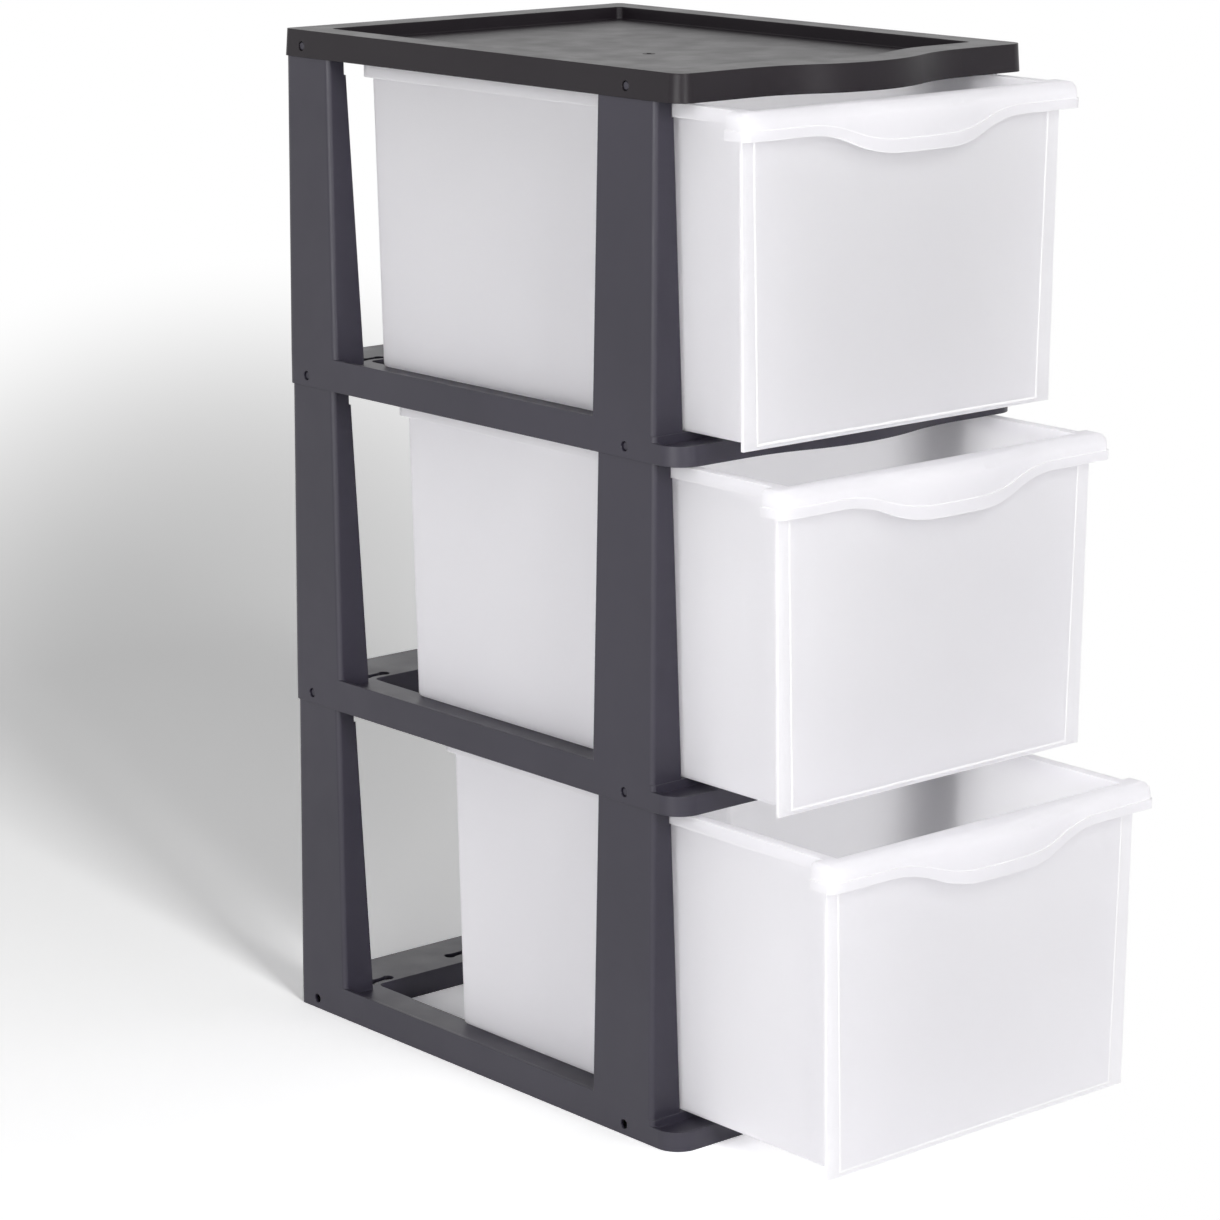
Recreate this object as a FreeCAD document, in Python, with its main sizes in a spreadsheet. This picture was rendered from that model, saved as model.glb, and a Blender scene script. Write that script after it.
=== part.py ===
import FreeCAD, Part
import math
import os
import Sketcher

# A plastic drawer tower: three identical storeys, three identical drawers and a tray on top.
# Millimetres, +Z up, front towards -Y, origin on the floor under the middle of the overall box.

SIZES = {
    # one storey of the frame
    "frame_width": 302.0,
    "frame_depth": 402.0,
    "storey_pitch": 224.0,
    "wall": 2.5,
    "fit": 0.3,
    "overrun": 5.0,
    # shelf ring
    "deck_height": 17.0,
    "rail_rise": 5.0,
    "lip_fall": 4.0,
    "lip_width": 3.0,
    "lip_step": 1.5,
    "front_bow": 12.0,
    "bow_reach": 92.0,
    "front_corner": 17.0,
    "rear_corner": 6.0,
    "ledge_lap": 6.0,
    "well_corner": 5.0,
    "front_beam": 37.5,
    "rear_beam": 48.0,
    # key slots in the rear beam
    "slot_length": 24.0,
    "slot_end_radius": 4.5,
    "slot_neck": 6.0,
    "outer_slot_inset": 40.0,
    "outer_slot_edge": 7.5,
    "inner_slot_place": 31.0,
    "inner_slot_edge": 17.0,
    # corner posts
    "post_setback": 23.5,
    "post_bead": 1.0,
    "post_lean": 1.0,
    "post_corner": 3.5,
    "front_post_foot": 57.2,
    "front_post_head": 53.0,
    "rear_post_foot": 53.5,
    "rear_post_head": 49.0,
    "rear_return": 12.0,
    "flange_foot_gap": 2.6,
    "flange_head_gap": 6.0,
    "notch_gap": 1.0,
    # snap studs on the posts and their holes in the skirts
    "tongue_gap": 1.5,
    "tongue_root": 10.0,
    "tongue_inset": 2.0,
    "stud_diameter": 5.0,
    "stud_reach": 1.7,
    "hole_diameter": 6.5,
    "hole_height": 7.3,
    "front_hole_margin": 50.5,
    "rear_hole_margin": 21.0,
    # tray
    "tray_gap": 2.5,
    "tray_flare": 1.2,
    "tray_bow": 20.0,
    "tray_front_corner": 11.0,
    "tray_rim": 22.0,
    "tray_front_rim": 29.0,
    "tray_rear_rim": 25.0,
    "tray_depth": 8.5,
    "tray_corner": 4.0,
    # drawer, in the room that the frame leaves it
    "drawer_side_gap": 21.5,
    "drawer_side_draft": 5.5,
    "drawer_head_gap": 2.0,
    "drawer_rear_gap": 4.3,
    "drawer_wall": 2.0,
    "drawer_corner": 6.0,
    "drawer_foot_round": 3.0,
    "drawer_rear_draft": 1.0,
    "rim_reach": 6.0,
    "rim_drop": 8.5,
    "plate_head_margin": 9.0,
    "plate_foot_margin": 11.0,
    "plate_thickness": 2.2,
    "plate_drop": 2.0,
    # hooded grip
    "grip_overhang": 6.4,
    "grip_reach": 11.0,
    "grip_bow": 7.0,
    "grip_back": 7.0,
    "grip_wall": 2.0,
    "grip_round": 7.0,
    "grip_corner": 3.5,
    "band_step": 1.1,
    "wave_reach": 93.0,
    "wave_flat": 22.0,
    "ridge_drop": 10.5,
    "ridge_dip": 12.5,
    "edge_drop": 16.8,
    "edge_dip": 14.8,
    # how far each drawer stands out
    "upper_pull": 57.5,
    "middle_pull": 91.7,
    "lower_pull": 138.5,
}


class Size:
    """A length with the sheet formula that gives it."""

    def __init__(self, number, formula):
        self.number = number
        self.formula = formula

    def __add__(self, other):
        other = as_size(other)
        return Size(self.number + other.number, f"({self.formula} + {other.formula})")

    def __sub__(self, other):
        other = as_size(other)
        return Size(self.number - other.number, f"({self.formula} - {other.formula})")

    def __mul__(self, other):
        other = as_size(other)
        return Size(self.number * other.number, f"({self.formula} * {other.formula})")

    def __truediv__(self, other):
        other = as_size(other)
        return Size(self.number / other.number, f"({self.formula} / {other.formula})")

    def __neg__(self):
        return Size(-self.number, f"(0 - {self.formula})")


def as_size(value):
    return value if isinstance(value, Size) else Size(float(value), repr(value))


class Sheet:
    """The driving sizes, one attribute for each."""

    def __init__(self, document, sizes):
        page = document.addObject("Spreadsheet::Sheet", "size")
        for row, (name, number) in enumerate(sizes.items(), start=1):
            page.set(f"A{row}", name)
            page.set(f"B{row}", str(number))
            page.setAlias(f"B{row}", name)
            setattr(self, name, Size(number, f"size.{name}"))


doc = FreeCAD.newDocument("drawer_tower")
size = Sheet(doc, SIZES)
doc.recompute()

ZERO = Size(0.0, "0")
LEFT = 1
RIGHT = -1

# How close two places count as one, as a share of the wall
NEAR_SHARE = 0.02


# Places that more than one piece shares

half_width = size.frame_width / 2
half_depth = size.frame_depth / 2
front_line = -half_depth
back_line = half_depth
post_front = front_line + size.post_setback
step_line = post_front - size.post_bead
deck_under = size.deck_height - size.wall
lip_height = size.deck_height - size.lip_fall
rail_height = size.deck_height + size.rail_rise

# the drawer stands on the deck, and its foot laps the ledges at both sides of the well
drawer_foot = size.deck_height
drawer_top = size.storey_pitch - size.drawer_head_gap
drawer_rise = drawer_top - drawer_foot
head_side = half_width - size.drawer_side_gap
foot_side = head_side - size.drawer_side_draft
rim_side = head_side + size.rim_reach
rim_under = drawer_top - size.rim_drop
well_side = foot_side - size.ledge_lap
plate_head_side = head_side + size.plate_head_margin
plate_foot_side = foot_side + size.plate_foot_margin
grip_side = plate_head_side + size.grip_overhang

# the ears of a closed drawer meet the front posts, and its rim stops short of the frame's back
closed_plate = post_front - size.grip_back - size.fit
drawer_length = back_line - size.drawer_rear_gap - size.rim_reach - closed_plate

# the tongues on the posts end below the deck, or the tray's rim, that they enter
tongue_height = deck_under - size.tongue_gap
tray_height = tongue_height + size.tray_gap + size.wall


# Sketches and features

def mirrored(half):
    """Completes an outline given for +X only, from its first corner round to its last."""
    arcs = [corner[2] for corner in half] + [None]
    other = [(-x, y, arcs[index + 1]) for index, (x, y, arc) in enumerate(half)]
    return half + other[::-1]


def s_curve(flat, reach, low, high):
    """Two arcs that rise from a flat middle to a flat end, tangent to both."""
    run = reach - flat
    rise = high - low
    radius = (run * run + rise * rise) / (rise * 4)
    middle = ((flat + reach) / 2, (low + high) / 2)
    return [
        (flat, low, None),
        (middle[0], middle[1], (radius, RIGHT)),
        (reach, high, (radius, LEFT)),
    ]


def bow(reach, low, high):
    """The same curve with no flat: its middle arc runs across the centre line."""
    return s_curve(ZERO, reach, low, high)[1:]


def arc_between(start, end, radius, side):
    """The short arc from start to end, drawn counter-clockwise, and whether it runs start first."""
    chord = end - start
    half_chord = chord.Length / 2
    depth = math.sqrt(max(radius * radius - half_chord * half_chord, 0.0))
    across = FreeCAD.Vector(-chord.y, chord.x, 0).normalize()
    centre = (start + end) / 2 - across * depth * side
    forward = side == RIGHT
    first, last = (start, end) if forward else (end, start)
    begin = math.atan2(first.y - centre.y, first.x - centre.x)
    finish = math.atan2(last.y - centre.y, last.x - centre.x)
    if finish < begin:
        finish += 2 * math.pi
    circle = Part.Circle(centre, FreeCAD.Vector(0, 0, 1), radius)
    return Part.ArcOfCircle(circle, begin, finish), forward


def draw(sketch, corners):
    """Adds one closed outline, with every corner and radius bound to the sheet."""
    places = [FreeCAD.Vector(x.number, y.number, 0) for x, y, arc in corners]
    base = sketch.GeometryCount
    edges = []
    ends = []
    for index, (x, y, arc) in enumerate(corners):
        start = places[index - 1]
        if arc is None:
            edges.append(Part.LineSegment(start, places[index]))
            ends.append((1, 2))
        else:
            edge, forward = arc_between(start, places[index], arc[0].number, arc[1])
            edges.append(edge)
            ends.append((1, 2) if forward else (2, 1))
    sketch.addGeometry(edges, False)
    rules = []
    formulas = []
    for index, (x, y, arc) in enumerate(corners):
        here = base + index
        following = (index + 1) % len(corners)
        end = ends[index][1]
        rules.append(Sketcher.Constraint("Coincident", here, end, base + following, ends[following][0]))
        formulas.append(None)
        for kind, place, axis in (("DistanceX", x, -2), ("DistanceY", y, -1)):
            if place is ZERO:
                rules.append(Sketcher.Constraint("PointOnObject", here, end, axis))
                formulas.append(None)
            else:
                rules.append(Sketcher.Constraint(kind, -1, 1, here, end, place.number))
                formulas.append(place.formula)
        if arc is not None:
            rules.append(Sketcher.Constraint("Radius", here, arc[0].number))
            formulas.append(arc[0].formula)
    numbers = sketch.addConstraint(rules)
    for number, formula in zip(numbers, formulas):
        if formula:
            sketch.setExpression(f"Constraints[{number}]", formula)


def draw_circle(sketch, x, y, diameter):
    centre = FreeCAD.Vector(x.number, y.number, 0)
    circle = Part.Circle(centre, FreeCAD.Vector(0, 0, 1), diameter.number / 2)
    edge = sketch.addGeometry(circle, False)
    for kind, place in (("DistanceX", x), ("DistanceY", y)):
        number = sketch.addConstraint(Sketcher.Constraint(kind, -1, 1, edge, 3, place.number))
        sketch.setExpression(f"Constraints[{number}]", place.formula)
    number = sketch.addConstraint(Sketcher.Constraint("Diameter", edge, diameter.number))
    sketch.setExpression(f"Constraints[{number}]", diameter.formula)


def new_sketch(body, name, plane, offset, outlines):
    """A sketch on one of the body's own planes, moved along that plane's normal."""
    sketch = body.newObject("Sketcher::SketchObject", name)
    origin_plane = [item for item in body.Origin.OriginFeatures if item.Role == plane][0]
    sketch.AttachmentSupport = [(origin_plane, "")]
    sketch.MapMode = "FlatFace"
    sketch.setExpression("AttachmentOffset.Base.z", offset.formula)
    for corners in outlines:
        draw(sketch, corners)
    return sketch


def extrude(body, kind, name, sketch, length, against=False):
    """A Pad or Pocket along the sketch's normal, or against it."""
    feature = body.newObject(f"PartDesign::{kind}", name)
    feature.Profile = sketch
    feature.setExpression("Length", length.formula)
    feature.Reversed = against if kind == "Pad" else not against
    doc.recompute()
    return feature


def loft(body, kind, name, sketches):
    feature = body.newObject(f"PartDesign::{kind}Loft", name)
    feature.Profile = sketches[0]
    feature.Sections = sketches[1:]
    feature.Ruled = True
    doc.recompute()
    return feature


def round_edges(body, name, radius, chosen):
    """Fillets the edges of the body so far whose bounding box the test accepts."""
    before = body.Tip
    picked = [
        f"Edge{index}"
        for index, edge in enumerate(before.Shape.Edges, start=1)
        if chosen(edge.BoundBox)
    ]
    feature = body.newObject("PartDesign::Fillet", name)
    feature.Base = (before, picked)
    feature.setExpression("Radius", radius.formula)
    doc.recompute()
    return feature


def mirror_across(body, name, features):
    feature = body.newObject("PartDesign::Mirrored", name)
    feature.Originals = features
    side_plane = [item for item in body.Origin.OriginFeatures if item.Role == "YZ_Plane"][0]
    feature.MirrorPlane = (side_plane, [""])
    body.Tip = feature
    doc.recompute()
    return feature


def near(first, second):
    """Whether two places are the same, to a small part of the wall."""
    return abs(first - second) < size.wall.number * NEAR_SHARE


# Shelf ring

def front_half(inset, bow_depth, corner):
    """The +X half of a bowed front with its corner, drawn in from the outside by the inset."""
    front = front_line + inset
    side = half_width - inset
    radius = corner - inset
    return bow(size.bow_reach, front - bow_depth, front) + [
        (side - radius, front, None),
        (side, front + radius, (radius, RIGHT)),
    ]


def rear_half(inset):
    side = half_width - inset
    back = back_line - inset
    radius = size.rear_corner - inset
    return [
        (side, back - radius, None),
        (side - radius, back, (radius, RIGHT)),
    ]


def bowed_outline(inset):
    return mirrored(front_half(inset, size.front_bow, size.front_corner) + rear_half(inset))


def well_outline(growth):
    side = well_side + growth
    front = post_front + size.front_beam - growth
    back = back_line - size.rear_beam + growth
    radius = size.well_corner + growth
    return mirrored([
        (side - radius, front, None),
        (side, front + radius, (radius, RIGHT)),
        (side, back - radius, None),
        (side - radius, back, (radius, RIGHT)),
    ])


def deck_outline(inset, corner):
    side = half_width - inset
    front = step_line + inset
    return mirrored([
        (side - corner, front, None),
        (side, front + corner, (corner, RIGHT)),
    ] + rear_half(inset))


def apron_recess():
    half = front_half(size.lip_width, size.front_bow, size.front_corner)
    return mirrored(half + [(half_width - size.lip_width, step_line, None)])


def key_slot(x, y):
    """A slot with round ends wider than its neck."""
    end = size.slot_end_radius
    reach = size.slot_length / 2
    neck = size.slot_neck / 2
    shoulder = reach - end * 2
    return [
        (x + shoulder, y - neck, None),
        (x + reach - end, y - end, (end * 2, LEFT)),
        (x + reach, y, (end, RIGHT)),
        (x + reach - end, y + end, (end, RIGHT)),
        (x + shoulder, y + neck, (end * 2, LEFT)),
        (x - shoulder, y + neck, None),
        (x - reach + end, y + end, (end * 2, LEFT)),
        (x - reach, y, (end, RIGHT)),
        (x - reach + end, y - end, (end, RIGHT)),
        (x - shoulder, y - neck, (end * 2, LEFT)),
    ]


def front_post_section(outer, inner, front, back, thickness):
    """An L: a flange facing forward and a side wall running back from it."""
    corner = size.post_corner
    bend = corner - size.wall
    return [
        (inner, front, None),
        (outer - corner, front, None),
        (outer, front + corner, (corner, RIGHT)),
        (outer, back, None),
        (outer - thickness, back, None),
        (outer - thickness, front + corner, None),
        (outer - corner, front + thickness, (bend, LEFT)),
        (inner, front + thickness, None),
    ]


def rear_post_section(outer, inner, front, back, thickness):
    """A channel: a flange facing forward, a side wall and a short return at the rear corner."""
    corner = size.post_corner
    bend = corner - size.wall
    rear = size.rear_corner
    rear_bend = size.rear_corner - size.wall
    turn = outer - size.rear_return
    return [
        (inner, front, None),
        (outer - corner, front, None),
        (outer, front + corner, (corner, RIGHT)),
        (outer, back - rear, None),
        (outer - rear, back, (rear, RIGHT)),
        (turn, back, None),
        (turn, back - thickness, None),
        (outer - rear, back - thickness, None),
        (outer - thickness, back - rear, (rear_bend, LEFT)),
        (outer - thickness, front + corner, None),
        (outer - corner, front + thickness, (bend, LEFT)),
        (inner, front + thickness, None),
    ]


def rectangle(left, right, low, high):
    return [(left, low, None), (right, low, None), (right, high, None), (left, high, None)]


def storey_moulding():
    """Ring, four posts and their snap tongues, one moulding, with its skirt's foot at zero."""
    body = doc.addObject("PartDesign::Body", "storey_moulding")

    def flat(name, height, outlines):
        return new_sketch(body, name, "XY_Plane", height, outlines)

    apron = flat("apron_plan", ZERO, [bowed_outline(ZERO)])
    extrude(body, "Pad", "apron", apron, lip_height)
    recess = flat("apron_recess_plan", lip_height, [apron_recess()])
    extrude(body, "Pocket", "apron_recess", recess, size.lip_step, against=True)
    deck = flat("deck_plan", ZERO, [deck_outline(ZERO, size.post_corner)])
    extrude(body, "Pad", "deck", deck, size.deck_height)

    island = well_outline(size.wall)
    low_cavity = flat("skirt_cavity_plan", ZERO, [bowed_outline(size.wall), island])
    low_height = lip_height - size.lip_step - size.wall
    extrude(body, "Pocket", "skirt_cavity", low_cavity, low_height)
    deck_inside = deck_outline(size.wall, size.post_corner - size.wall)
    high_cavity = flat("deck_cavity_plan", ZERO, [deck_inside, island])
    extrude(body, "Pocket", "deck_cavity", high_cavity, deck_under)
    well = flat("well_plan", ZERO, [well_outline(ZERO)])
    extrude(body, "Pocket", "well", well, size.deck_height + size.overrun)

    sides = []

    # side rail, standing proud of the deck
    rail_side = half_width - size.wall
    rail_front = post_front + size.front_post_head
    rail_back = back_line - size.rear_post_head
    rail = flat("rail_plan", deck_under, [rectangle(rail_side, half_width, rail_front, rail_back)])
    sides.append(extrude(body, "Pad", "rail", rail, rail_height - deck_under))

    # key slots
    beam_front = back_line - size.rear_beam
    outer_slot = key_slot(half_width - size.outer_slot_inset, beam_front + size.outer_slot_edge)
    inner_slot = key_slot(size.inner_slot_place, beam_front + size.inner_slot_edge)
    slots = flat("slot_plan", deck_under, [outer_slot, inner_slot])
    sides.append(extrude(body, "Pocket", "slots", slots, size.wall + size.overrun))

    # posts
    post_head_side = half_width - size.post_lean
    post_head_back = back_line - size.post_lean
    foot_inner = foot_side + size.flange_foot_gap
    head_inner = head_side + size.flange_head_gap
    front_foot = front_post_section(
        half_width, foot_inner, post_front, post_front + size.front_post_foot, size.wall)
    front_head = front_post_section(
        post_head_side, head_inner, post_front, post_front + size.front_post_head, size.wall)
    rear_foot = rear_post_section(
        half_width, foot_inner, back_line - size.rear_post_foot, back_line, size.wall)
    rear_head = rear_post_section(
        post_head_side, head_inner, back_line - size.rear_post_head, post_head_back, size.wall)
    for name, foot, head in (("front_post", front_foot, front_head), ("rear_post", rear_foot, rear_head)):
        root = flat(f"{name}_root_plan", deck_under, [foot])
        sides.append(extrude(body, "Pad", f"{name}_root", root, rail_height - deck_under))
        sections = [
            flat(f"{name}_foot", rail_height, [foot]),
            flat(f"{name}_head", size.storey_pitch, [head]),
        ]
        sides.append(loft(body, "Additive", name, sections))

    # notches that let the drawer's rim pass
    notch_side = rim_side + size.notch_gap
    notch_floor = rim_under - size.fit
    notch_front = rectangle(
        well_side, notch_side, step_line, post_front + size.wall + size.overrun)
    notch_rear = rectangle(
        well_side, notch_side,
        back_line - size.rear_post_foot - size.overrun,
        back_line - size.rear_post_head + size.wall + size.overrun)
    notches = flat("notch_plan", notch_floor, [notch_front, notch_rear])
    sides.append(extrude(body, "Pocket", "notches", notches, size.storey_pitch - notch_floor + size.overrun))

    # tongues that enter the skirt above
    tongue_side = half_width - size.wall - size.fit
    tongue_inner = notch_side + size.fit
    tongue_foot = size.storey_pitch - size.tongue_root
    tongue_length = size.tongue_root + tongue_height
    front_tongue = front_post_section(
        tongue_side, tongue_inner, step_line + size.wall + size.fit,
        post_front + size.front_post_head - size.tongue_inset, size.wall)
    rear_tongue = rear_post_section(
        tongue_side, tongue_inner, back_line - size.rear_post_head + size.tongue_inset,
        back_line - size.wall - size.fit, size.wall)
    for name, section in (("front_tongue", front_tongue), ("rear_tongue", rear_tongue)):
        plan = flat(f"{name}_plan", tongue_foot, [section])
        sides.append(extrude(body, "Pad", name, plan, tongue_length))

    # studs, and the holes that take the studs of a storey below
    front_hole = front_line + size.front_hole_margin
    rear_hole = back_line - size.rear_hole_margin
    studs = new_sketch(body, "stud_plan", "YZ_Plane", tongue_side - size.wall, [])
    for place in (front_hole, rear_hole):
        draw_circle(studs, place, size.storey_pitch + size.hole_height, size.stud_diameter)
    sides.append(extrude(body, "Pad", "studs", studs, size.wall + size.stud_reach))
    holes = new_sketch(body, "hole_plan", "YZ_Plane", half_width + size.overrun, [])
    for place in (front_hole, rear_hole):
        draw_circle(holes, place, size.hole_height, size.hole_diameter)
    sides.append(extrude(body, "Pocket", "holes", holes, size.overrun + size.wall + size.fit, against=True))

    mirror_across(body, "other_side", sides)
    return body


# Tray

def tray_outline(inset):
    return mirrored(front_half(inset, size.tray_bow, size.tray_front_corner) + rear_half(inset))


def tray_recess(growth):
    """The sunk panel's edge, which follows the bow of the tray's front."""
    side = half_width - size.tray_rim + growth
    front = front_line + size.tray_front_rim - growth
    back = back_line - size.tray_rear_rim + growth
    radius = size.tray_corner + growth
    return mirrored(bow(size.bow_reach, front - size.tray_bow, front) + [
        (side - radius, front, None),
        (side, front + radius, (radius, RIGHT)),
        (side, back - radius, None),
        (side - radius, back, (radius, RIGHT)),
    ])


def tray_body():
    body = doc.addObject("PartDesign::Body", "top_tray")

    def flat(name, height, outlines):
        return new_sketch(body, name, "XY_Plane", height, outlines)

    loft(body, "Additive", "tray_block", [
        flat("tray_foot", ZERO, [tray_outline(ZERO)]),
        flat("tray_head", tray_height, [tray_outline(size.tray_flare)]),
    ])
    recess = flat("tray_recess_plan", tray_height, [tray_recess(ZERO)])
    extrude(body, "Pocket", "tray_recess", recess, size.tray_depth, against=True)
    hollow = flat("tray_hollow_plan", ZERO, [tray_outline(size.wall)])
    extrude(body, "Pocket", "tray_hollow", hollow, tray_height - size.tray_depth - size.wall)
    rim_hollow = flat("tray_rim_hollow_plan", ZERO, [tray_outline(size.wall), tray_recess(size.wall)])
    extrude(body, "Pocket", "tray_rim_hollow", rim_hollow, tray_height - size.wall)
    holes = new_sketch(body, "tray_hole_plan", "YZ_Plane", half_width + size.overrun, [])
    for place in (front_line + size.front_hole_margin, back_line - size.rear_hole_margin):
        draw_circle(holes, place, size.hole_height, size.hole_diameter)
    side_holes = extrude(
        body, "Pocket", "tray_holes", holes, size.overrun + size.wall + size.fit, against=True)
    mirror_across(body, "tray_other_side", [side_holes])
    return body


# Drawer, with its front plate's face at zero

def tub_outline(side, front, back, corner):
    return mirrored([
        (side, front, None),
        (side, back - corner, None),
        (side - corner, back, (corner, RIGHT)),
    ])


def grip_half(inset):
    """The +X half of the grip's bowed front, moved in from the outside by the inset."""
    front = -size.grip_reach + inset
    return bow(size.wave_reach, front - size.grip_bow, front) + [(grip_side - inset, front, None)]


def grip_outline(inset):
    """The grip seen from above: its bowed front and the two ears that reach behind the plate."""
    side = grip_side - inset
    ear = rim_side - size.drawer_wall / 2
    return mirrored(grip_half(inset) + [
        (side, size.grip_back, None),
        (ear, size.grip_back, None),
        (ear, size.plate_thickness, None),
    ])


def finger_outline(inset):
    """The space under the hood, out to the inner faces of its ears."""
    side = grip_side - inset
    back = size.grip_back - size.grip_wall
    return mirrored(grip_half(inset) + [
        (side, back, None),
        (rim_side, back, None),
        (rim_side, ZERO, None),
    ])


def wave_region(end_height, dip, limit):
    """The region between the grip's wave and a level limit, seen from the front."""
    side = grip_side + size.overrun
    half = s_curve(size.wave_flat, size.wave_reach, end_height - dip, end_height) + [
        (side, end_height, None),
        (side, limit, None),
    ]
    return mirrored(half)


def drawer_moulding():
    body = doc.addObject("PartDesign::Body", "drawer_moulding")

    def flat(name, height, outlines):
        return new_sketch(body, name, "XY_Plane", height, outlines)

    def upright(name, place, outlines):
        return new_sketch(body, name, "XZ_Plane", -place, outlines)

    # grip: a proud band below the ridge, and the hood that rises from it
    ridge = drawer_top - size.ridge_drop
    edge = drawer_top - size.edge_drop
    grip_foot = edge - size.edge_dip - size.band_step
    band = flat("band_plan", grip_foot, [grip_outline(-size.band_step)])
    extrude(body, "Pad", "band", band, ridge - grip_foot)
    above = upright("ridge_cut_plan", size.grip_back + size.overrun,
                    [wave_region(ridge, size.ridge_dip, ridge + size.overrun)])
    cut_length = size.grip_back + size.grip_reach + size.grip_bow + size.overrun * 2
    extrude(body, "Pocket", "ridge_cut", above, cut_length)
    hood = flat("hood_plan", grip_foot, [grip_outline(ZERO)])
    extrude(body, "Pad", "hood", hood, drawer_top - grip_foot)
    round_hood(body)

    shoulder = drawer_top - size.grip_round - size.band_step
    roof = drawer_top - size.grip_wall
    loft(body, "Subtractive", "finger_space", [
        flat("finger_foot", grip_foot - size.overrun, [finger_outline(size.grip_wall)]),
        flat("finger_shoulder", shoulder, [finger_outline(size.grip_wall)]),
        flat("finger_roof", roof, [finger_outline(size.grip_round)]),
    ])
    below = upright("edge_cut_plan", size.grip_back + size.overrun,
                    [wave_region(edge, size.edge_dip, grip_foot - size.overrun)])
    extrude(body, "Pocket", "edge_cut", below, cut_length)

    # tub
    tub_front = size.plate_thickness / 2
    foot_back = drawer_length - size.drawer_rear_draft
    loft(body, "Additive", "tub", [
        flat("tub_foot", drawer_foot, [tub_outline(foot_side, tub_front, foot_back, size.drawer_corner)]),
        flat("tub_head", drawer_top, [tub_outline(head_side, tub_front, drawer_length, size.drawer_corner)]),
    ])
    round_tub(body)
    rim_corner = size.drawer_corner + size.rim_reach
    rim_back = drawer_length + size.rim_reach
    rim = flat("rim_plan", drawer_top - size.drawer_wall,
               [tub_outline(rim_side, tub_front, rim_back, rim_corner)])
    extrude(body, "Pad", "rim", rim, size.drawer_wall)
    skirt = flat("rim_skirt_plan", rim_under, [rim_strip(rim_side, rim_back, rim_corner, tub_front)])
    extrude(body, "Pad", "rim_skirt", skirt, size.rim_drop)

    # plate
    plate = upright("plate_plan", ZERO, [mirrored([
        (plate_foot_side, drawer_foot - size.plate_drop, None),
        (plate_head_side, drawer_top, None),
    ])])
    extrude(body, "Pad", "plate", plate, size.plate_thickness, against=True)

    # inside of the tub, open at the top
    inner_corner = size.drawer_corner - size.drawer_wall
    inner_front = size.plate_thickness
    inner_foot = drawer_foot + size.drawer_wall
    slope = size.drawer_side_draft / drawer_rise
    inner_foot_side = foot_side + slope * size.drawer_wall - size.drawer_wall
    inner_top_side = head_side - size.drawer_wall
    inner_back = drawer_length - size.drawer_wall
    loft(body, "Subtractive", "tub_space", [
        flat("space_foot", inner_foot, [tub_outline(
            inner_foot_side, inner_front, inner_back - size.drawer_rear_draft, inner_corner)]),
        flat("space_head", drawer_top, [tub_outline(inner_top_side, inner_front, inner_back, inner_corner)]),
    ])
    return body


def rim_strip(side, back, corner, front):
    """A strip as thick as the drawer's wall that runs along both sides and the rear."""
    thickness = size.drawer_wall
    inner = corner - thickness
    outer_half = [
        (side, front, None),
        (side, back - corner, None),
        (side - corner, back, (corner, RIGHT)),
    ]
    outer_other = [
        (-(side - corner), back, None),
        (-side, back - corner, (corner, RIGHT)),
        (-side, front, None),
    ]
    inner_side = side - thickness
    inner_path = [
        (-inner_side, front, None),
        (-inner_side, back - corner, None),
        (-(side - corner), back - thickness, (inner, LEFT)),
        (side - corner, back - thickness, None),
        (inner_side, back - corner, (inner, LEFT)),
        (inner_side, front, None),
    ]
    return outer_half + outer_other + inner_path


def round_hood(body):
    """A broad round along the grip's top front edge, then a smaller one down both ends."""
    top = drawer_top.number
    front = -size.grip_reach.number
    side = grip_side.number

    def top_front(box):
        level = near(box.ZMin, top) and near(box.ZMax, top)
        return level and box.YMax < front / 2

    round_edges(body, "hood_front_round", size.grip_round, top_front)

    def end_edge(box):
        at_end = near(abs(box.XMin), side) and near(abs(box.XMax), side)
        high = box.ZMax > top - size.ridge_drop.number + size.band_step.number
        back_edge = near(box.YMin, size.grip_back.number)
        return at_end and high and not back_edge

    round_edges(body, "hood_end_round", size.grip_corner, end_edge)

    band_side = side + size.band_step.number
    band_front = front - size.band_step.number

    def band_corner(box):
        at_end = near(abs(box.XMin), band_side) and near(abs(box.XMax), band_side)
        return at_end and near(box.YMin, band_front) and near(box.YMax, band_front)

    round_edges(body, "band_corner_round", size.grip_corner + size.band_step, band_corner)


def round_tub(body):
    """The round along the foot of the tub's sides and rear."""
    foot = drawer_foot.number

    def foot_edge(box):
        level = near(box.ZMin, foot) and near(box.ZMax, foot)
        return level and box.YMax > size.plate_thickness.number

    round_edges(body, "tub_foot_round", size.drawer_foot_round, foot_edge)


def place_copy(name, source, y, z):
    """Another of the same moulding, under its own name, at its own place."""
    body = doc.addObject("PartDesign::Body", name)
    base = body.newObject("PartDesign::FeatureBase", f"{name}_moulding")
    base.BaseFeature = source
    body.Tip = base
    body.setExpression("Placement.Base.y", y.formula)
    body.setExpression("Placement.Base.z", z.formula)
    return body


# The front of the drawer that stands out furthest
foremost = closed_plate - size.lower_pull - size.grip_reach - size.grip_bow - size.band_step
origin_shift = -(foremost + back_line) / 2

storey = storey_moulding()
drawer = drawer_moulding()
tray = tray_body()
tray.setExpression("Placement.Base.y", origin_shift.formula)
tray.setExpression("Placement.Base.z", (size.storey_pitch * 3).formula)

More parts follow.
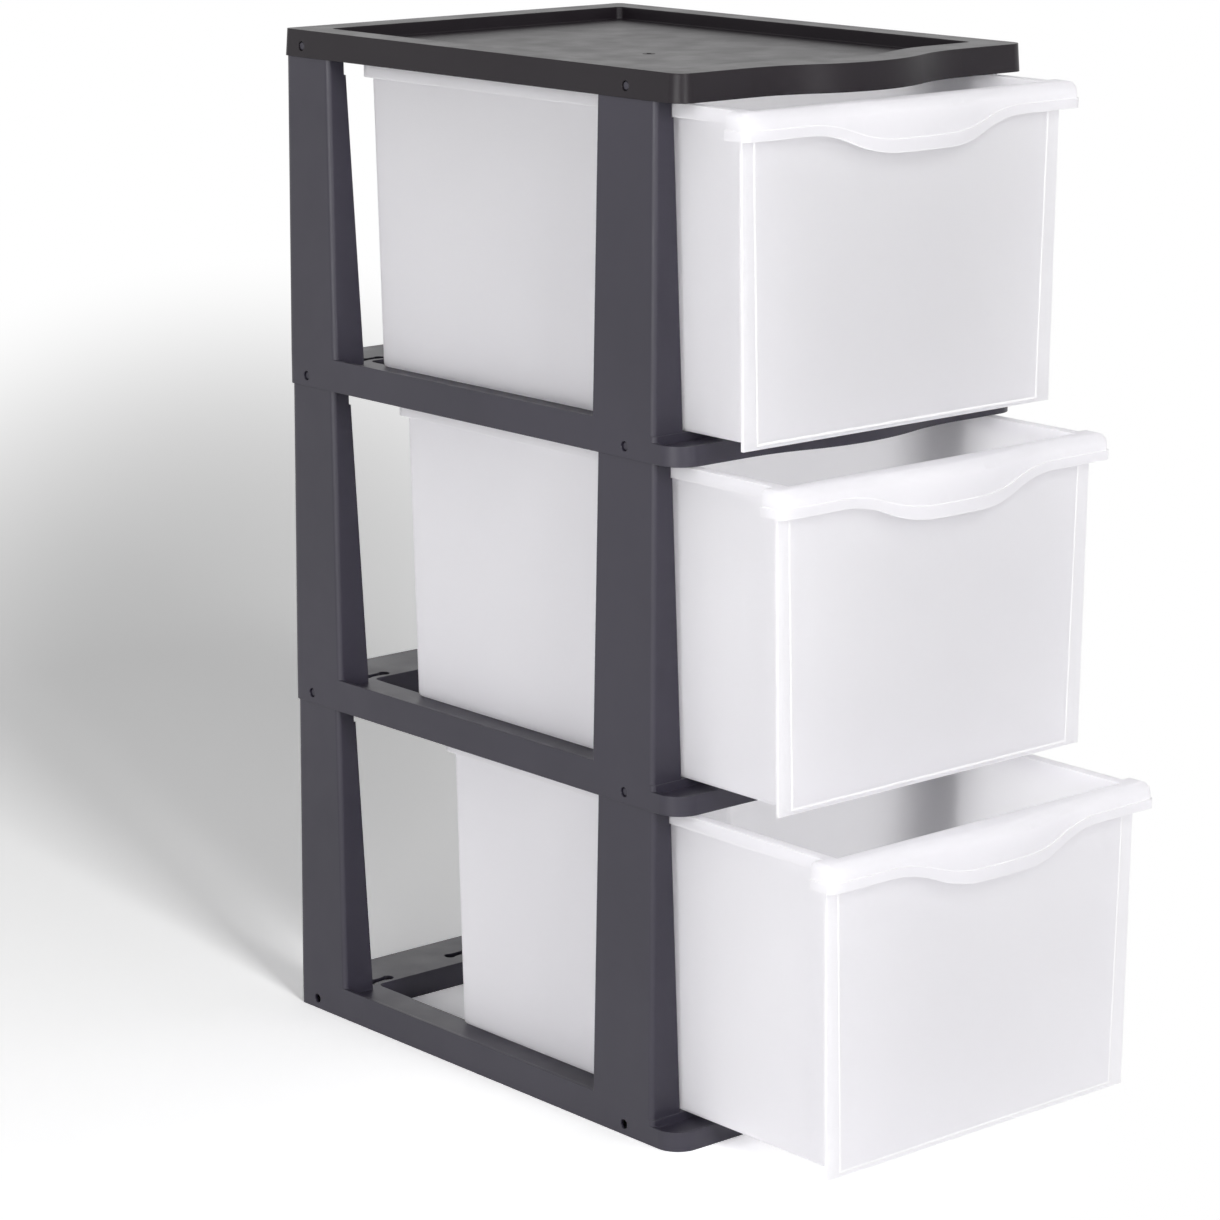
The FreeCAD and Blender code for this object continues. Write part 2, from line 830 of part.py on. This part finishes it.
parts = [tray]
for level, (name, pull) in enumerate((
    ("base_frame", size.lower_pull),
    ("middle_frame", size.middle_pull),
    ("upper_frame", size.upper_pull),
)):
    height = size.storey_pitch * level
    parts.append(place_copy(name, storey, origin_shift, height))
    drawer_name = name.replace("base", "lower").replace("frame", "drawer")
    plate_place = closed_plate - pull + origin_shift
    parts.append(place_copy(drawer_name, drawer, plate_place, height))

doc.recompute()

for item in doc.Objects:
    if "Invalid" in item.State or "Error" in item.State:
        raise RuntimeError(f"{item.Label} failed: {item.State}")
for part in parts:
    if part.Shape.isNull() or not part.Shape.isValid() or len(part.Shape.Solids) != 1:
        raise RuntimeError(f"{part.Label} is not one sound solid")

os.makedirs("parts", exist_ok=True)
for part in parts:
    part.Shape.exportStep(f"parts/{part.Label}.step")
    box = part.Shape.BoundBox
    print(part.Label, f"{part.Shape.Volume:.0f}", box)
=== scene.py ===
import math

import bmesh
import bpy
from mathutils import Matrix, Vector


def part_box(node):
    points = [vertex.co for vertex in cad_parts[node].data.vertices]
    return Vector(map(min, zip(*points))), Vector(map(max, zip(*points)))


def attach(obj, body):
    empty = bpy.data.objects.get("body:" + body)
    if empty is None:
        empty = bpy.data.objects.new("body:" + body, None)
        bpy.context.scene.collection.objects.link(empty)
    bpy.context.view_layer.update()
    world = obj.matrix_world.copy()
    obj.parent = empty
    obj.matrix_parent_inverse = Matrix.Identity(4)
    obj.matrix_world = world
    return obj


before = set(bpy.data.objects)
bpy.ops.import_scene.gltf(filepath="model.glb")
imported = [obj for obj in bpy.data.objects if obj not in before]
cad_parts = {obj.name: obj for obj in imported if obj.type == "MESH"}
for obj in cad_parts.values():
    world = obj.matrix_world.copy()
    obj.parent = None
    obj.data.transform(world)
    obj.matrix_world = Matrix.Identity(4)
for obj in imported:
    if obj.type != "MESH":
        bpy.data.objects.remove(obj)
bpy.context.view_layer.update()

MM = 0.001
scene = bpy.context.scene

# The photograph's frame and the camera that gives it
IMAGE_SIZE = 1220
SENSOR = 36.0
FOCAL_PIXELS = 4017.8
CAMERA_PLACE = Vector((-1766.5, -1932.4, 940.1)) * MM
CAMERA_AZIMUTH = math.radians(40.88)
CAMERA_TILT = math.radians(13.49)
CAMERA_CLIP_END = 100.0

# Light. A lamp's level is how bright a white card that faces it renders.
TOWER_MIDDLE = Vector((0.0, 0.0, 0.35))
SKY_LEVEL = 0.19
HORIZON_LEVEL = 0.82
HORIZON_TOP = 0.5
KEY = {"azimuth": -16.5, "elevation": 24.0, "distance": 3.6, "width": 0.7, "height": 2.4, "level": 0.6}
FILL = {"azimuth": -72.0, "elevation": 8.0, "distance": 3.4, "width": 2.0, "height": 1.5, "level": 0.52}

FLOOR_SIZE = 60.0
FLOOR_ALBEDO = 0.8
FLOOR_SEEN_GAIN = 0.78
FLOOR_DRIFT = 0.01
FLOOR_DRIFT_SCALE = 0.6

# The part of the floor that keeps its tone round the shadow. Past this ellipse the floor is white.
SHADOW_PLACE = Vector((0.30, 1.0, 0.0))
SHADOW_AZIMUTH = math.radians(36.9)
SHADOW_REACH = 2.8
SHADOW_BREADTH = 0.68
SHADOW_CORE = 0.18

# How far from the tower's foot the floor keeps its own tone
CONTACT_REACH = 0.035

# Noise values between these two shares of its range drift a roughness or a colour
DRIFT_LOW_SHARE = 0.3
DRIFT_HIGH_SHARE = 0.7
COLOUR_LOW_SHARE = 0.35
COLOUR_HIGH_SHARE = 0.65
COLOUR_DETAIL = 3.0
DRIFT_DETAIL = 2.0

# What every moulded skin has
PLASTIC_IOR = 1.49
SOFT_EDGE_SAMPLES = 4
GRAIN_DETAIL = 3.0
GRAIN_ROUGHNESS = 0.6
WAVE_DETAIL = 1.0
WAVE_SHARE = 0.35

# The dark mouldings: the two ends of the colour, the roughness, the soft edge and the gloss
DARK_GRAIN = {"fine": 2600.0, "coarse": 60.0, "strength": 0.12, "distance": 0.0004}
DARK_COLOUR_SCALE = 9.0
DARK_ROUGH_SCALE = 40.0
FRAME_PLASTIC = {
    "name": "dark_frame_plastic",
    "first": (0.022, 0.0195, 0.031, 1.0),
    "second": (0.026, 0.023, 0.036, 1.0),
    "rough_low": 0.38,
    "rough_high": 0.46,
    "edge": 1.0 * MM,
    "specular": 0.48,
}
TRAY_PLASTIC = {
    "name": "dark_tray_plastic",
    "first": (0.010, 0.007, 0.010, 1.0),
    "second": (0.013, 0.010, 0.013, 1.0),
    "rough_low": 0.34,
    "rough_high": 0.42,
    "edge": 1.2 * MM,
    "specular": 0.25,
}

# The frosted mouldings. The translucent share lets light through instead of sending it back.
FROST_GRAIN = {"fine": 1800.0, "coarse": 25.0, "strength": 0.1, "distance": 0.0004}
FROST_COLOUR_SCALE = 5.0
FROST_ROUGH_SCALE = 30.0
FROST_ROUGH_LOW = 0.32
FROST_ROUGH_HIGH = 0.4
FROST_SOFT_EDGE = 0.5 * MM
DRAWER_PLASTIC = {
    "name": "frosted_polypropylene",
    "first": (0.966, 0.961, 0.976, 1.0),
    "second": (0.980, 0.975, 0.988, 1.0),
    "transmission": 0.42,
    "translucent_share": 0.54,
}
# The painted light line's plastic: opaque, and whiter than the drawers' own
PAINTED_JOIN_LIGHT_PLASTIC = {
    "name": "painted_join_light",
    "first": (0.985, 0.982, 0.988, 1.0),
    "second": (0.99, 0.988, 0.992, 1.0),
    "transmission": 0.0,
    "translucent_share": 0.35,
}

# How wide the painted highlights along the frosted plastic's edges are, and how sharp a bend has to be
HIGHLIGHT_EDGE_RADIUS = 0.9 * MM
HIGHLIGHT_EDGE_SAMPLES = 6
HIGHLIGHT_EDGE_START = 0.004
HIGHLIGHT_EDGE_FULL = 0.09
HIGHLIGHT_EDGE_SHARE = 0.9
# The painted highlight's colour: an opaque white mixed in along the edges
EDGE_HIGHLIGHT_COLOUR = (0.985, 0.98, 0.985, 1.0)

# The moulding's gate mark on the tray's panel: a nub in a shallow ring
GATE_PLACE = Vector((-23.0, 43.0, 681.5)) * MM
GATE_RING = 4.2 * MM
GATE_GROOVE = 3.0 * MM
GATE_NUB = 1.4 * MM
GATE_RISE = 0.35 * MM
GATE_SIDES = 48

# Its half section from the rim inwards: a radius, the share of it, and the share of the rise
GATE_SECTION_SHARES = [
    (GATE_RING, 1.0, 0.0),
    (GATE_RING, 0.94, 0.6),
    (GATE_RING, 0.82, 0.6),
    (GATE_GROOVE, 1.0, 0.1),
    (GATE_NUB, 1.3, 0.1),
    (GATE_NUB, 1.0, 0.7),
    (GATE_NUB, 0.6, 1.0),
]

# The painted light line on each front plate where the tub meets it, measured from the drawer's own box
PLATE_BEHIND_GRIP = 19.1 * MM
JOIN_FOOT = 3.0 * MM
JOIN_HEAD = 190.0 * MM
JOIN_FOOT_SIDE = 123.0 * MM
JOIN_HEAD_SIDE = 128.3 * MM
JOIN_WIDTH = 1.6 * MM
JOIN_RISE = 0.06 * MM
JOIN_ROOT = 0.25 * MM

# The line's section: shares of its half width, and how far behind the plate's face each lies
JOIN_SECTION_SHARES = [
    (-1.0, JOIN_ROOT),
    (-1.0, -JOIN_RISE * 0.3),
    (-0.4, -JOIN_RISE),
    (0.4, -JOIN_RISE),
    (1.0, -JOIN_RISE * 0.3),
    (1.0, JOIN_ROOT),
]


# Shader helpers

def new_material(name):
    """An empty node material with its output, and a function that adds and wires nodes."""
    material = bpy.data.materials.new(name)
    material.use_nodes = True
    tree = material.node_tree
    tree.nodes.clear()

    def add(kind, settings=None, **inputs):
        node = tree.nodes.new(kind)
        for key, value in (settings or {}).items():
            setattr(node, key, value)
        for key, value in inputs.items():
            socket = node.inputs[key.replace("_", " ")]
            if isinstance(value, bpy.types.NodeSocket):
                tree.links.new(value, socket)
            else:
                socket.default_value = value
        return node

    output = add("ShaderNodeOutputMaterial")
    return material, add, output, tree


def grey(level):
    return (level, level, level, 1.0)


def moulded_grain(add, tree, place, normal, fine, coarse, strength, distance):
    """Bump of a moulded skin: fine grain over slow waves."""
    grain = add(
        "ShaderNodeTexNoise", Vector=place, Scale=fine, Detail=GRAIN_DETAIL, Roughness=GRAIN_ROUGHNESS)
    waves = add("ShaderNodeTexNoise", Vector=place, Scale=coarse, Detail=WAVE_DETAIL)
    mixed = add("ShaderNodeMix", {"data_type": "FLOAT"}, Factor=WAVE_SHARE)
    tree.links.new(grain.outputs["Fac"], mixed.inputs[2])
    tree.links.new(waves.outputs["Fac"], mixed.inputs[3])
    bump = add(
        "ShaderNodeBump", Strength=strength, Distance=distance, Height=mixed.outputs[0], Normal=normal)
    return bump.outputs["Normal"]


def varied(add, place, scale, low, high):
    """A value that drifts between low and high over the surface."""
    noise = add("ShaderNodeTexNoise", Vector=place, Scale=scale, Detail=DRIFT_DETAIL)
    spread = add("ShaderNodeMapRange", Value=noise.outputs["Fac"])
    spread.inputs["From Min"].default_value = DRIFT_LOW_SHARE
    spread.inputs["From Max"].default_value = DRIFT_HIGH_SHARE
    spread.inputs["To Min"].default_value = low
    spread.inputs["To Max"].default_value = high
    return spread.outputs["Result"]


def varied_colour(add, place, scale, first, second):
    """A colour that drifts between the first and the second over the surface."""
    noise = add("ShaderNodeTexNoise", Vector=place, Scale=scale, Detail=COLOUR_DETAIL)
    ramp = add("ShaderNodeValToRGB", Fac=noise.outputs["Fac"])
    ramp.color_ramp.elements[0].position = COLOUR_LOW_SHARE
    ramp.color_ramp.elements[1].position = COLOUR_HIGH_SHARE
    ramp.color_ramp.elements[0].color = first
    ramp.color_ramp.elements[1].color = second
    return ramp.outputs["Color"]


# Materials of the object

def dark_plastic(name, first, second, rough_low, rough_high, edge, specular):
    """A satin dark moulding, with its edges softened by the given radius."""
    material, add, output, tree = new_material(name)
    place = add("ShaderNodeTexCoord").outputs["Object"]
    colour = varied_colour(add, place, DARK_COLOUR_SCALE, first, second)
    rough = varied(add, place, DARK_ROUGH_SCALE, rough_low, rough_high)
    soft_edge = add("ShaderNodeBevel", {"samples": SOFT_EDGE_SAMPLES}, Radius=edge)
    normal = moulded_grain(add, tree, place, soft_edge.outputs["Normal"], **DARK_GRAIN)
    shader = add(
        "ShaderNodeBsdfPrincipled", Base_Color=colour, Roughness=rough, Normal=normal, IOR=PLASTIC_IOR)
    shader.inputs["Specular IOR Level"].default_value = specular
    tree.links.new(shader.outputs["BSDF"], output.inputs["Surface"])
    return material


def painted_edge_highlights(add, radius):
    """The mask of the painted edge highlights: one along the edges, where a rounded normal leaves the
    face's own, and zero between them.
    """
    rounded = add("ShaderNodeBevel", {"samples": HIGHLIGHT_EDGE_SAMPLES}, Radius=radius)
    face = add("ShaderNodeNewGeometry")
    along = add("ShaderNodeVectorMath", {"operation": "DOT_PRODUCT"})
    tree = rounded.id_data
    tree.links.new(rounded.outputs["Normal"], along.inputs[0])
    tree.links.new(face.outputs["Normal"], along.inputs[1])
    bend = add("ShaderNodeMapRange", Value=along.outputs["Value"])
    bend.inputs["From Min"].default_value = 1.0 - HIGHLIGHT_EDGE_START
    bend.inputs["From Max"].default_value = 1.0 - HIGHLIGHT_EDGE_FULL
    bend.inputs["To Max"].default_value = HIGHLIGHT_EDGE_SHARE
    return bend.outputs["Result"]


def frosted_plastic(name, first, second, transmission, translucent_share):
    """Frosted walls that let light through, with painted highlights of opaque white where they turn or
    end.
    """
    material, add, output, tree = new_material(name)
    place = add("ShaderNodeTexCoord").outputs["Object"]
    colour = varied_colour(add, place, FROST_COLOUR_SCALE, first, second)
    rough = varied(add, place, FROST_ROUGH_SCALE, FROST_ROUGH_LOW, FROST_ROUGH_HIGH)
    soft_edge = add("ShaderNodeBevel", {"samples": SOFT_EDGE_SAMPLES}, Radius=FROST_SOFT_EDGE)
    normal = moulded_grain(add, tree, place, soft_edge.outputs["Normal"], **FROST_GRAIN)
    shader = add(
        "ShaderNodeBsdfPrincipled", Base_Color=colour, Roughness=rough, Normal=normal, IOR=PLASTIC_IOR)
    shader.inputs["Transmission Weight"].default_value = transmission
    through = add("ShaderNodeBsdfTranslucent", Color=colour, Normal=normal)
    mix = add("ShaderNodeMixShader", Fac=translucent_share)
    tree.links.new(shader.outputs["BSDF"], mix.inputs[1])
    tree.links.new(through.outputs["BSDF"], mix.inputs[2])
    # Opaque white mixed in along the edges: a painted highlight
    edge = add("ShaderNodeBsdfDiffuse", Color=EDGE_HIGHLIGHT_COLOUR, Normal=normal)
    highlighted = add("ShaderNodeMixShader", Fac=painted_edge_highlights(add, HIGHLIGHT_EDGE_RADIUS))
    tree.links.new(mix.outputs["Shader"], highlighted.inputs[1])
    tree.links.new(edge.outputs["BSDF"], highlighted.inputs[2])
    tree.links.new(highlighted.outputs["Shader"], output.inputs["Surface"])
    return material


def floor_material():
    """A white floor that keeps the object's shadow. What is seen of it is brighter than its bounce."""
    material, add, output, tree = new_material("studio_floor")
    place = add("ShaderNodeTexCoord").outputs["Object"]
    dull = grey(FLOOR_ALBEDO - FLOOR_DRIFT)
    pale = grey(FLOOR_ALBEDO + FLOOR_DRIFT)
    colour = varied_colour(add, place, FLOOR_DRIFT_SCALE, dull, pale)
    diffuse = add("ShaderNodeBsdfDiffuse", Color=colour)
    gain = add("ShaderNodeBsdfDiffuse", Color=grey(FLOOR_SEEN_GAIN))
    bright = add("ShaderNodeAddShader")
    tree.links.new(diffuse.outputs["BSDF"], bright.inputs[0])
    tree.links.new(gain.outputs["BSDF"], bright.inputs[1])
    white = add("ShaderNodeEmission", Color=grey(1.0), Strength=1.0)
    seen = add("ShaderNodeMixShader", Fac=beyond_shadow(add, place))
    tree.links.new(bright.outputs["Shader"], seen.inputs[1])
    tree.links.new(white.outputs["Emission"], seen.inputs[2])
    mix = add("ShaderNodeMixShader", Fac=seen_rays(add, tree))
    tree.links.new(diffuse.outputs["BSDF"], mix.inputs[1])
    tree.links.new(seen.outputs["Shader"], mix.inputs[2])
    tree.links.new(mix.outputs["Shader"], output.inputs["Surface"])
    return material


def beyond_shadow(add, place):
    """Zero in the middle of the shadow's ellipse, rising smoothly to one at its edge."""
    spread = add("ShaderNodeMapping", {"vector_type": "TEXTURE"}, Vector=place)
    spread.inputs["Location"].default_value = SHADOW_PLACE
    spread.inputs["Rotation"].default_value = (0.0, 0.0, -SHADOW_AZIMUTH)
    spread.inputs["Scale"].default_value = (SHADOW_BREADTH, SHADOW_REACH, 1.0)
    away = add("ShaderNodeVectorMath", {"operation": "LENGTH"}, Vector=spread.outputs["Vector"])
    rise = add(
        "ShaderNodeMapRange", {"interpolation_type": "SMOOTHSTEP"}, Value=away.outputs["Value"])
    rise.inputs["From Min"].default_value = SHADOW_CORE
    white = add("ShaderNodeMath", {"operation": "MINIMUM"})
    tree = white.id_data
    tree.links.new(rise.outputs["Result"], white.inputs[0])
    tree.links.new(beyond_foot(add, place), white.inputs[1])
    return white.outputs["Value"]


def beyond_foot(add, place):
    """Zero under the tower's lowest frame, rising to one a little way out from it."""
    low, high = (Vector(corner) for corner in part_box("base_frame"))
    middle = (low + high) / 2
    half = (high - low) / 2
    from_middle = add("ShaderNodeVectorMath", {"operation": "SUBTRACT"})
    tree = from_middle.id_data
    tree.links.new(place, from_middle.inputs[0])
    from_middle.inputs[1].default_value = middle
    size = add("ShaderNodeVectorMath", {"operation": "ABSOLUTE"}, Vector=from_middle.outputs["Vector"])
    out = add("ShaderNodeVectorMath", {"operation": "SUBTRACT"})
    tree.links.new(size.outputs["Vector"], out.inputs[0])
    out.inputs[1].default_value = half
    sides = add("ShaderNodeSeparateXYZ", Vector=out.outputs["Vector"])
    far = add("ShaderNodeMath", {"operation": "MAXIMUM"})
    tree.links.new(sides.outputs["X"], far.inputs[0])
    tree.links.new(sides.outputs["Y"], far.inputs[1])
    rise = add(
        "ShaderNodeMapRange", {"interpolation_type": "SMOOTHSTEP"}, Value=far.outputs["Value"])
    rise.inputs["From Max"].default_value = CONTACT_REACH
    return rise.outputs["Result"]


def seen_rays(add, tree):
    """One for rays that show a thing to the camera, directly or through gloss and clear walls."""
    path = add("ShaderNodeLightPath")
    through = add("ShaderNodeMath", {"operation": "MAXIMUM"})
    seen = add("ShaderNodeMath", {"operation": "MAXIMUM"})
    tree.links.new(path.outputs["Is Camera Ray"], through.inputs[0])
    tree.links.new(path.outputs["Is Transmission Ray"], through.inputs[1])
    tree.links.new(through.outputs["Value"], seen.inputs[0])
    tree.links.new(path.outputs["Is Glossy Ray"], seen.inputs[1])
    return seen.outputs["Value"]


def assign(node, material):
    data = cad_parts[node].data
    data.materials.clear()
    data.materials.append(material)


# The gate mark

def gate_mark(material):
    """A turned mark: a low ring, a groove inside it and a domed nub in the middle."""
    data = bpy.data.meshes.new("tray_gate_mark")
    mesh = bmesh.new()
    rings = []
    for full_radius, radius_share, rise_share in GATE_SECTION_SHARES:
        radius = full_radius * radius_share
        height = GATE_RISE * rise_share
        ring = []
        for side in range(GATE_SIDES):
            turn = 2 * math.pi * side / GATE_SIDES
            place = GATE_PLACE + Vector((radius * math.cos(turn), radius * math.sin(turn), height))
            ring.append(mesh.verts.new(place))
        rings.append(ring)
    for lower, upper in zip(rings, rings[1:]):
        for side in range(GATE_SIDES):
            following = (side + 1) % GATE_SIDES
            mesh.faces.new((lower[side], lower[following], upper[following], upper[side]))
    mesh.faces.new(rings[-1])
    mesh.faces.new(rings[0][::-1])
    bmesh.ops.recalc_face_normals(mesh, faces=mesh.faces)
    mesh.to_mesh(data)
    mesh.free()
    data.shade_smooth()
    data.materials.append(material)
    mark = bpy.data.objects.new("tray_gate_mark", data)
    scene.collection.objects.link(mark)
    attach(mark, "tower")


# The painted light line on each front plate where the tub's walls meet it from behind: a strip of
# opaque white where the walls show through the plate

def painted_join_line(drawer, material):
    """A low strip of painted light down both sides of the plate and along its foot, below the hood."""
    low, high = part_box(drawer)
    face = low[1] + PLATE_BEHIND_GRIP
    foot = low[2] + JOIN_FOOT
    head = low[2] + JOIN_HEAD
    path = [
        (-JOIN_HEAD_SIDE, head),
        (-JOIN_FOOT_SIDE, foot),
        (JOIN_FOOT_SIDE, foot),
        (JOIN_HEAD_SIDE, head),
    ]
    mesh = bmesh.new()
    sections = []
    for index, (x, z) in enumerate(path):
        before = Vector(path[max(index - 1, 0)])
        after = Vector(path[min(index + 1, len(path) - 1)])
        here = Vector((x, z))
        first = (here - before).normalized() if index else (after - here).normalized()
        second = (after - here).normalized() if index < len(path) - 1 else first
        across = Vector((-(first + second).y, (first + second).x)).normalized()
        square = Vector((-first.y, first.x))
        reach = JOIN_WIDTH / 2 / across.dot(square)
        sections.append([
            mesh.verts.new((x + across.x * reach * share, face + depth, z + across.y * reach * share))
            for share, depth in JOIN_SECTION_SHARES
        ])
    for start, end in zip(sections, sections[1:]):
        for corner in range(len(start)):
            following = (corner + 1) % len(start)
            mesh.faces.new((start[corner], start[following], end[following], end[corner]))
    mesh.faces.new(sections[0])
    mesh.faces.new(sections[-1][::-1])
    bmesh.ops.recalc_face_normals(mesh, faces=mesh.faces)
    data = bpy.data.meshes.new(f"{drawer}_painted_join_line")
    mesh.to_mesh(data)
    mesh.free()
    data.materials.append(material)
    line = bpy.data.objects.new(f"{drawer}_painted_join_line", data)
    scene.collection.objects.link(line)
    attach(line, drawer)


# Studio

def make_world():
    world = bpy.data.worlds.new("studio_world")
    scene.world = world
    world.use_nodes = True
    tree = world.node_tree
    tree.nodes.clear()

    def add(kind, settings=None, **inputs):
        node = tree.nodes.new(kind)
        for key, value in (settings or {}).items():
            setattr(node, key, value)
        for key, value in inputs.items():
            node.inputs[key].default_value = value
        return node

    output = add("ShaderNodeOutputWorld")
    way = add("ShaderNodeSeparateXYZ")
    tree.links.new(add("ShaderNodeTexCoord").outputs["Generated"], way.inputs["Vector"])
    level = add("ShaderNodeMapRange", {"interpolation_type": "SMOOTHSTEP"})
    tree.links.new(way.outputs["Z"], level.inputs["Value"])
    level.inputs["From Max"].default_value = HORIZON_TOP
    level.inputs["To Min"].default_value = HORIZON_LEVEL
    level.inputs["To Max"].default_value = SKY_LEVEL
    soft = add("ShaderNodeBackground", Color=grey(1.0))
    tree.links.new(level.outputs["Result"], soft.inputs["Strength"])
    white = add("ShaderNodeBackground", Color=grey(1.0), Strength=1.0)
    mix = add("ShaderNodeMixShader")
    tree.links.new(seen_rays(add, tree), mix.inputs["Fac"])
    tree.links.new(soft.outputs["Background"], mix.inputs[1])
    tree.links.new(white.outputs["Background"], mix.inputs[2])
    tree.links.new(mix.outputs["Shader"], output.inputs["Surface"])


def area_light(name, azimuth, elevation, distance, width, height, level):
    """A soft box aimed at the tower. Azimuth 0 is in front of it, and grows to the right."""
    turn = math.radians(azimuth)
    rise = math.radians(elevation)
    way = Vector((math.sin(turn) * math.cos(rise), -math.cos(turn) * math.cos(rise), math.sin(rise)))
    data = bpy.data.lights.new(name, "AREA")
    data.shape = "RECTANGLE"
    data.size = width
    data.size_y = height
    data.energy = level * math.pi ** 2 * distance ** 2
    lamp = bpy.data.objects.new(name, data)
    lamp.location = TOWER_MIDDLE + way * distance
    lamp.rotation_euler = (-way).to_track_quat("-Z", "Y").to_euler()
    lamp.visible_camera = False
    scene.collection.objects.link(lamp)


def make_camera():
    data = bpy.data.cameras.new("photo_camera")
    data.sensor_width = SENSOR
    data.lens = FOCAL_PIXELS / IMAGE_SIZE * SENSOR
    data.clip_end = CAMERA_CLIP_END
    camera = bpy.data.objects.new("photo_camera", data)
    camera.location = CAMERA_PLACE
    camera.rotation_euler = (math.pi / 2 - CAMERA_TILT, 0.0, -CAMERA_AZIMUTH)
    scene.collection.objects.link(camera)
    scene.camera = camera


def make_floor():
    bpy.ops.mesh.primitive_plane_add(size=FLOOR_SIZE, location=(0.0, 0.0, 0.0))
    floor = bpy.context.object
    floor.name = "studio_floor"
    floor.data.materials.append(floor_material())


make_camera()
make_world()
make_floor()
area_light("key", **KEY)
area_light("fill", **FILL)

dark_frame = dark_plastic(**FRAME_PLASTIC)
dark_tray = dark_plastic(**TRAY_PLASTIC)
frosted = frosted_plastic(**DRAWER_PLASTIC)
# Opaque white for the painted light lines where the tubs meet the front plates
painted_join_light_material = frosted_plastic(**PAINTED_JOIN_LIGHT_PLASTIC)
for node in ("base_frame", "middle_frame", "upper_frame"):
    assign(node, dark_frame)
assign("top_tray", dark_tray)
gate_mark(dark_tray)
for node in ("lower_drawer", "middle_drawer", "upper_drawer"):
    assign(node, frosted)
    painted_join_line(node, painted_join_light_material)

scene.view_settings.view_transform = "Standard"
